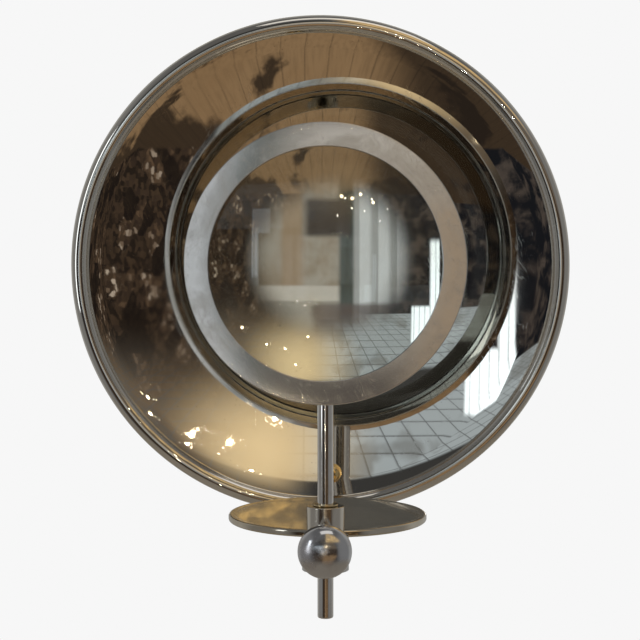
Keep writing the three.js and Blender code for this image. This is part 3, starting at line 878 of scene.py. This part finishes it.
bar_metal = metal(
    "dark_steel_bar", hub_centre, OUTWARD,
    colour=(0.26, 0.255, 0.245), tarnish=(0.16, 0.15, 0.135), roughness=0.35, rough_marks=0.2,
    lines=900, line_depth=0.006, scratch=0.9, scratch_depth=0.02, scale=2.0)
add_piece(make_wall_bar(), "base", bar_metal, "wall_bar")

tap_end = HUB_SCREW.front + GAP
hub = turned("dish_boss", [
    (0, tap_end + 0.5 * MM), (SCREW_HOLE, tap_end), (SCREW_HOLE, HUB.back), (HUB.half.x, HUB.back),
    (HUB.half.x, HUB.front), (0, HUB.front),
], hub_centre, OUTWARD, 96)
soften(hub, 0.8 * MM)
brass_hub = metal(
    "brass_hub", hub_centre, OUTWARD,
    colour=(0.72, 0.56, 0.31), tarnish=(0.46, 0.33, 0.16), roughness=0.22, rough_marks=0.18,
    lines=2500, line_depth=0.005, scale=2.5)
add_piece(hub, "base", brass_hub, "dish_hub")


def make_hub_screw():
    """A countersunk screw from the back of the bar into the hub."""
    back = HUB_SCREW.back
    head = 4 * MM
    screw = turned("hub_fixing", [
        (0, back), (head, back), (head, back + 0.3 * MM), (SHANK_RADIUS, back + 2.3 * MM),
        (SHANK_RADIUS, HUB_SCREW.front), (0, HUB_SCREW.front),
    ], hub_centre, OUTWARD, 64)
    cut_slot(screw, hub_centre + OUTWARD * back, (20 * MM, 2 * SLOT_DEPTH, SLOT_WIDTH), turn=0.3)
    return screw


add_piece(make_hub_screw(), "base", bar_metal, "hub_screw")

# the ball-headed screw at the bottom of the bowl, its washer, and the spacer behind it
brass_dome = metal(
    "brass_dome", dome_centre, OUTWARD,
    colour=(0.83, 0.62, 0.30), tarnish=(0.60, 0.40, 0.15), roughness=0.10, rough_marks=0.10,
    line_depth=0.002)
shank_meets_ball = math.asin(SHANK_RADIUS / BALL_RADIUS) - QUARTER
ball = turned("dome_head", [
    (0, DOME.back), (SHANK_RADIUS, DOME.back),
    *arc((0, DOME.front - BALL_RADIUS), BALL_RADIUS, shank_meets_ball, QUARTER, 32)[:-1],
    (0, DOME.front),
], dome_centre, OUTWARD, 96)
add_piece(ball, "base", brass_dome, "dome_screw")


def bowl_slope_at(radius):
    """Slope and front face of the bowl at a distance from its axis."""
    face = bowl_section(0, 200)
    i = next(i for i, (r, _) in enumerate(face) if r >= radius)
    (r0, h0), (r1, h1) = face[i - 1], face[i]
    return math.atan2(h1 - h0, r1 - r0), h1


slope, surface = bowl_slope_at(math.hypot(DOME.middle.x - DISH.middle.x, DOME.middle.z - DISH.middle.z))
slanted = Vector((0, -math.cos(slope), math.sin(slope)))
seat = dome_centre + OUTWARD * surface
washer = turned("dome_collar", sleeve(2.7 * MM, WASHER.half.x, GAP, 1.1 * MM), seat, slanted, 64)
soften(washer, 0.2 * MM)
add_piece(washer, "base", brass_dome, "dome_washer")


def make_spacer():
    """A tube from the bar to the back of the bowl, cut to the bowl's curve."""
    tube = turned("bowl_spacer", sleeve(SCREW_HOLE, SPACER.half.x, SPACER.back, DISH.front),
                  dome_centre, OUTWARD, 64)
    behind = bowl_section(DISH_SHEET + GAP, 24) + [(DISH_RADIUS, 2 * DISH.front), (0, 2 * DISH.front)]
    bowl = turned("bowl_cutter", behind, dish_centre, OUTWARD, 192)
    cut(tube, bowl)
    soften(tube, 0.3 * MM, segments=2)
    return tube


add_piece(make_spacer(), "base", brass_hub, "dish_spacer")
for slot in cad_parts["rim_wire"].material_slots:
    slot.material = bar_metal

# ---- camera

CAMERA_AWAY = 1101 * MM          # from the wall
CAMERA_ASIDE = 15.5 * MM
CAMERA_UP = 14 * MM
LENS_MM = 87.2
SHIFT_UP = 0.04
PITCH = math.radians(-1.83)
YAW = math.radians(1.18)

camera_data = bpy.data.cameras.new("camera")
camera_data.lens = LENS_MM
camera_data.sensor_width = 36
camera_data.shift_y = -SHIFT_UP
camera = bpy.data.objects.new("camera", camera_data)
bpy.context.collection.objects.link(camera)
camera.location = (CAMERA_ASIDE, -CAMERA_AWAY, CAMERA_UP)
camera.rotation_euler = (QUARTER + PITCH, 0, YAW)
bpy.context.scene.camera = camera
bpy.context.scene.view_settings.view_transform = "Standard"

# ---- floor, light and surroundings


def make_floor():
    """A pale floor, faded out at its edge."""
    floor = primitive("studio_floor", bpy.ops.mesh.primitive_circle_add, vertices=96, radius=2.2,
                      fill_type="NGON", location=(0, -0.1, -0.95))
    material, tree, shader = new_material("pale_floor")
    shader.inputs["Roughness"].default_value = 0.8
    coordinates = add(tree, "ShaderNodeTexCoord").outputs["Object"]
    tree.links.new(blend(tree, noise(tree, coordinates, 3.0, 4.0), (0.60, 0.55, 0.48), (0.68, 0.63, 0.56)),
                   shader.inputs["Base Color"])
    away = vector_calc(tree, "LENGTH", coordinates)
    tree.links.new(ramp(tree, away, 1.3, 2.2, 1.0, 0.0), shader.inputs["Alpha"])
    floor.data.materials.append(material)


def soft_light(name, place, towards, size, colour, radiance, shape="RECTANGLE"):
    """An area light of a given brightness per area, which the camera itself doesn't see."""
    data = bpy.data.lights.new(name, "AREA")
    data.shape = shape
    data.size, data.size_y = size
    data.color = colour
    area = size[0] * size[1] * (QUARTER / 2 if shape == "DISK" else 1)
    data.energy = radiance * math.pi * area
    light = bpy.data.objects.new(name, data)
    bpy.context.collection.objects.link(light)
    light.location = place
    light.rotation_euler = (Vector(towards) - Vector(place)).to_track_quat("-Z", "Y").to_euler()
    light.visible_camera = False


def span(tree, value, rise, fall):
    """A mask that comes up over `rise` and goes down over `fall`, each a (from, to) pair."""
    return product(tree, ramp(tree, value, *rise), ramp(tree, value, *fall, 1.0, 0.0))


class Room:
    """A dim room for the metal to mirror, painted on the sky.

    `across` and `height` are where a direction meets an upright plane 1 m in front of the mirror.
    """

    def __init__(self, tree):
        self.tree = tree
        self.direction = add(tree, "ShaderNodeTexCoord").outputs["Generated"]
        self.parts = add(tree, "ShaderNodeSeparateXYZ", {0: self.direction}).outputs
        ahead = calc(tree, "MAXIMUM", product(tree, self.parts["Y"], -1.0), 0.05)
        self.across = calc(tree, "DIVIDE", self.parts["X"], ahead)
        self.height = calc(tree, "DIVIDE", self.parts["Z"], ahead)

    def noise(self, scale, detail=3.0):
        return noise(self.tree, self.direction, scale, detail, 0.6, 0.3)

    def repeats(self, value, times):
        """A sawtooth along a value."""
        return calc(self.tree, "FRACT", product(self.tree, value, times))

    def away_from(self, across, height):
        """Distance from a place on the plane."""
        x = calc(self.tree, "SUBTRACT", self.across, across)
        z = calc(self.tree, "SUBTRACT", self.height, height)
        squares = calc(self.tree, "ADD", product(self.tree, x, x), product(self.tree, z, z))
        return calc(self.tree, "SQRT", squares)

    def walls(self):
        """Crowded brown shelves on the right, a dark wall on the left."""
        tree = self.tree
        squeezed = add(tree, "ShaderNodeCombineXYZ", {"X": product(tree, self.across, 2.0), "Y": self.height})
        tones = []
        for scale, share in ((130.0, 0.42), (26.0, 0.6)):
            cells = add(tree, "ShaderNodeTexVoronoi", {
                "Vector": squeezed.outputs[0], "Scale": scale, "Randomness": 0.85},
                distance="CHEBYCHEV", voronoi_dimensions="2D")
            shade = add(tree, "ShaderNodeSeparateColor", {0: cells.outputs["Color"]}).outputs[0]
            tones.append(product(tree, shade, share))
        shelves = add(tree, "ShaderNodeValToRGB", {0: calc(tree, "ADD", *tones)})
        stops = ((0.0, (0.012, 0.009, 0.008)), (0.48, (0.022, 0.016, 0.012)), (0.62, (0.060, 0.040, 0.026)),
                 (0.74, (0.035, 0.024, 0.018)), (0.88, (0.11, 0.072, 0.045)), (1.0, (0.45, 0.38, 0.31)))
        while len(shelves.color_ramp.elements) < len(stops):
            shelves.color_ramp.elements.new(0.5)
        for element, (place, colour) in zip(shelves.color_ramp.elements, stops):
            element.position = place
            element.color = (*colour, 1)
        dark_wall = blend(tree, ramp(tree, self.noise(30.0, 5.0), 0.44, 0.66),
                          (0.010, 0.011, 0.014), (0.075, 0.062, 0.055))
        return blend(tree, ramp(tree, self.across, -0.12, -0.02), dark_wall, shelves.outputs["Color"])

    def window(self):
        """A mask for a tall window with upright blinds, wider in its upper part."""
        tree = self.tree
        left_edge, top_edge = (-0.290, -0.286), (0.185, 0.195)
        narrow = product(tree, span(tree, self.across, left_edge, (-0.266, -0.262)),
                         span(tree, self.height, (-0.07, -0.05), top_edge))
        wide = product(tree, span(tree, self.across, left_edge, (-0.222, -0.216)),
                       span(tree, self.height, (0.095, 0.105), top_edge))
        slats = ramp(tree, self.repeats(self.across, 75.0), 0.05, 0.3, 0.45, 1.0)
        return product(tree, calc(tree, "MAXIMUM", narrow, wide), slats)

    def wooden_floor(self):
        """Boards that run away from the mirror, with dark things on them, darker to the left."""
        tree = self.tree
        fan = calc(tree, "DIVIDE", self.across, self.height)
        grain_place = add(tree, "ShaderNodeCombineXYZ", {
            "X": product(tree, fan, 60.0), "Y": product(tree, self.height, 30.0)}).outputs[0]
        boards = calc(tree, "ADD", ramp(tree, self.repeats(fan, 9.0), 0.0, 0.10, 0.2, 0.6),
                      product(tree, noise(tree, grain_place, 1.0, 4.0), 0.7))
        near = ramp(tree, self.height, -0.30, -0.20)
        things = calc(tree, "ADD", self.noise(8.0, 5.0), product(tree, near, -0.10))
        tone = product(tree, boards, ramp(tree, things, 0.36, 0.44, 0.12, 1.0),
                       ramp(tree, self.across, -0.17, -0.07, 0.12, 1.0))
        return blend(tree, tone, (0.020, 0.015, 0.012), (0.27, 0.175, 0.095))

    def ceiling(self):
        """Tiles between dark joints, cool to the left, lit gold to the right, dark far up."""
        tree = self.tree
        fan = calc(tree, "DIVIDE", self.across, self.height)
        rows = calc(tree, "FRACT", calc(tree, "DIVIDE", 2.2, self.height))
        joints = calc(tree, "MINIMUM", ramp(tree, self.repeats(fan, 6.0), 0.0, 0.10),
                      ramp(tree, rows, 0.0, 0.14))
        tiles = blend(tree, ramp(tree, self.across, -0.03, 0.04), (0.40, 0.46, 0.50), (0.165, 0.125, 0.085))
        colour = blend(tree, joints, (0.12, 0.13, 0.14), tiles)
        stains = product(tree, ramp(tree, self.noise(12.0), 0.48, 0.6), 0.5)
        colour = blend(tree, stains, colour, (0.12, 0.115, 0.105))
        glow = ramp(tree, self.away_from(0.055, 0.240), 0.0, 0.17, 1.0, 0.0)
        colour = blend(tree, product(tree, glow, 0.85), colour, (1.05, 0.82, 0.48))
        far_up = product(tree, ramp(tree, self.height, 0.275, 0.295),
                         ramp(tree, self.across, -0.02, 0.05, 1.0, 0.25))
        return blend(tree, far_up, colour, (0.045, 0.045, 0.045))

    def hall(self):
        """Straight ahead: pale blinds on the left, a hazy wall on the right, dark things below and above."""
        tree, across, height = self.tree, self.across, self.height
        stripes = ramp(tree, self.repeats(across, 22.0), 0.25, 0.55, 0.0, 1.0)
        blinds = blend(tree, stripes, (0.40, 0.43, 0.45), (0.66, 0.71, 0.76))
        clouds = ramp(tree, self.noise(14.0, 5.0), 0.35, 0.7)
        haze = blend(tree, clouds, (0.42, 0.40, 0.36), (0.30, 0.25, 0.19))
        haze = blend(tree, ramp(tree, height, 0.080, 0.086), haze, (0.36, 0.35, 0.32))
        pale_strip = product(tree, span(tree, across, (0.150, 0.154), (0.190, 0.194)),
                             ramp(tree, height, -0.095, -0.088))
        haze = blend(tree, pale_strip, haze, (0.62, 0.64, 0.65))
        tan_strip = product(tree, span(tree, across, (0.035, 0.055), (0.085, 0.105)),
                            ramp(tree, height, 0.045, 0.060, 1.0, 0.0))
        haze = blend(tree, tan_strip, haze, (0.36, 0.275, 0.19))
        bright_shelf = span(tree, height, (0.045, 0.052), (0.082, 0.088))
        haze = blend(tree, bright_shelf, haze, (0.60, 0.58, 0.54))
        post = (0.045, 0.065, 0.062)
        colour = blend(tree, ramp(tree, across, -0.082, -0.072), blinds, post)
        colour = blend(tree, ramp(tree, across, -0.050, -0.035), colour, haze)
        table = product(tree, span(tree, height, (-0.170, -0.150), (-0.078, -0.062)),
                        span(tree, across, (-0.080, -0.060), (0.025, 0.055)))
        colour = blend(tree, table, colour, (0.055, 0.050, 0.048))
        folds = calc(tree, "ADD", product(tree, across, 1.3), product(tree, self.noise(9.0), 0.12))
        curtain = product(tree, ramp(tree, height, 0.085, 0.10), ramp(tree, folds, 0.06, 0.10, 1.0, 0.0), 0.8)
        return blend(tree, curtain, colour, (0.10, 0.075, 0.072))

    def sides(self):
        """Plain grey to the sides, lighter above and behind."""
        tree, parts = self.tree, self.parts
        colour = blend(tree, ramp(tree, parts["Z"], -0.2, 0.6), (0.050, 0.049, 0.050), (0.12, 0.12, 0.122))
        lateral = ramp(tree, calc(tree, "ABSOLUTE", parts["X"]), 0.50, 0.80)
        colour = blend(tree, lateral, colour, (0.20, 0.20, 0.20))
        return blend(tree, ramp(tree, parts["Y"], 0.05, 0.5), colour, (0.34, 0.34, 0.33))

    def colour(self):
        """The whole room."""
        tree, parts, across, height = self.tree, self.parts, self.across, self.height
        room = blend(tree, ramp(tree, height, -0.175, -0.170, 1.0, 0.0), self.walls(), self.wooden_floor())
        warm_side = ramp(tree, across, 0.03, 0.10)
        sharp_edge = product(tree, ramp(tree, height, 0.115, 0.120), calc(tree, "SUBTRACT", 1.0, warm_side))
        soft_edge = product(tree, ramp(tree, height, 0.06, 0.20), warm_side)
        room = blend(tree, calc(tree, "ADD", sharp_edge, soft_edge), room, self.ceiling())
        room = blend(tree, self.window(), room, (1.5, 1.7, 1.85))
        in_hall = ramp(tree, self.away_from(-0.021, -0.015), 0.130, 0.215, 1.0, 0.0)
        room = blend(tree, in_hall, room, self.hall())
        room = blend(tree, ramp(tree, parts["Y"], -0.84, -0.72), room, self.sides())
        # a lamp-lit patch high up on the right
        lit = product(tree, ramp(tree, parts["Z"], 0.40, 0.52), ramp(tree, parts["X"], 0.0, 0.10),
                      ramp(tree, parts["Y"], -0.55, -0.35, 1.0, 0.0),
                      ramp(tree, self.noise(16.0, 4.0), 0.38, 0.66, 0.25, 1.0))
        return blend(tree, lit, room, (0.95, 0.66, 0.30))


def make_world():
    """The room for the metal to mirror, and plain pale grey where the camera looks past the object."""
    world = bpy.data.worlds.new("studio")
    bpy.context.scene.world = world
    world.use_nodes = True
    tree = world.node_tree
    seen = add(tree, "ShaderNodeLightPath").outputs["Is Camera Ray"]
    tree.links.new(blend(tree, seen, Room(tree).colour(), (0.93, 0.93, 0.93)),
                   tree.nodes["Background"].inputs["Color"])


make_floor()
make_world()
AIM = (0, -0.1, 0)
soft_light("window_side", (-1.9, -1.5, 0.35), AIM, (0.45, 1.5), (0.86, 0.93, 1.0), 1.9)
soft_light("overhead_panel", (0.2, -0.9, 2.1), AIM, (1.6, 0.8), (1.0, 0.97, 0.93), 0.7)
soft_light("rear_panel", (0.0, 2.6, 0.6), AIM, (1.6, 1.6), (1.0, 0.98, 0.95), 1.2)
# small lamps, placed by their direction from the mirror
LAMPS = ((0.085, 0.200), (0.130, 0.190), (0.190, 0.150), (0.060, 0.240), (0.220, 0.200), (0.030, 0.170),
         (0.160, 0.235), (-0.050, -0.165), (-0.075, -0.160), (-0.095, -0.170), (-0.125, -0.150))
LAMPS_OUT = 3.2
LAMPS_SPREAD = 3.0
LAMP_SIZE = (0.014, 0.014)
for i, (across, height) in enumerate(LAMPS):
    soft_light(f"lamp_{i}", (LAMPS_SPREAD * across, -LAMPS_OUT, LAMPS_SPREAD * height), AIM, LAMP_SIZE,
               (1.0, 0.84, 0.58), 150.0, shape="DISK")
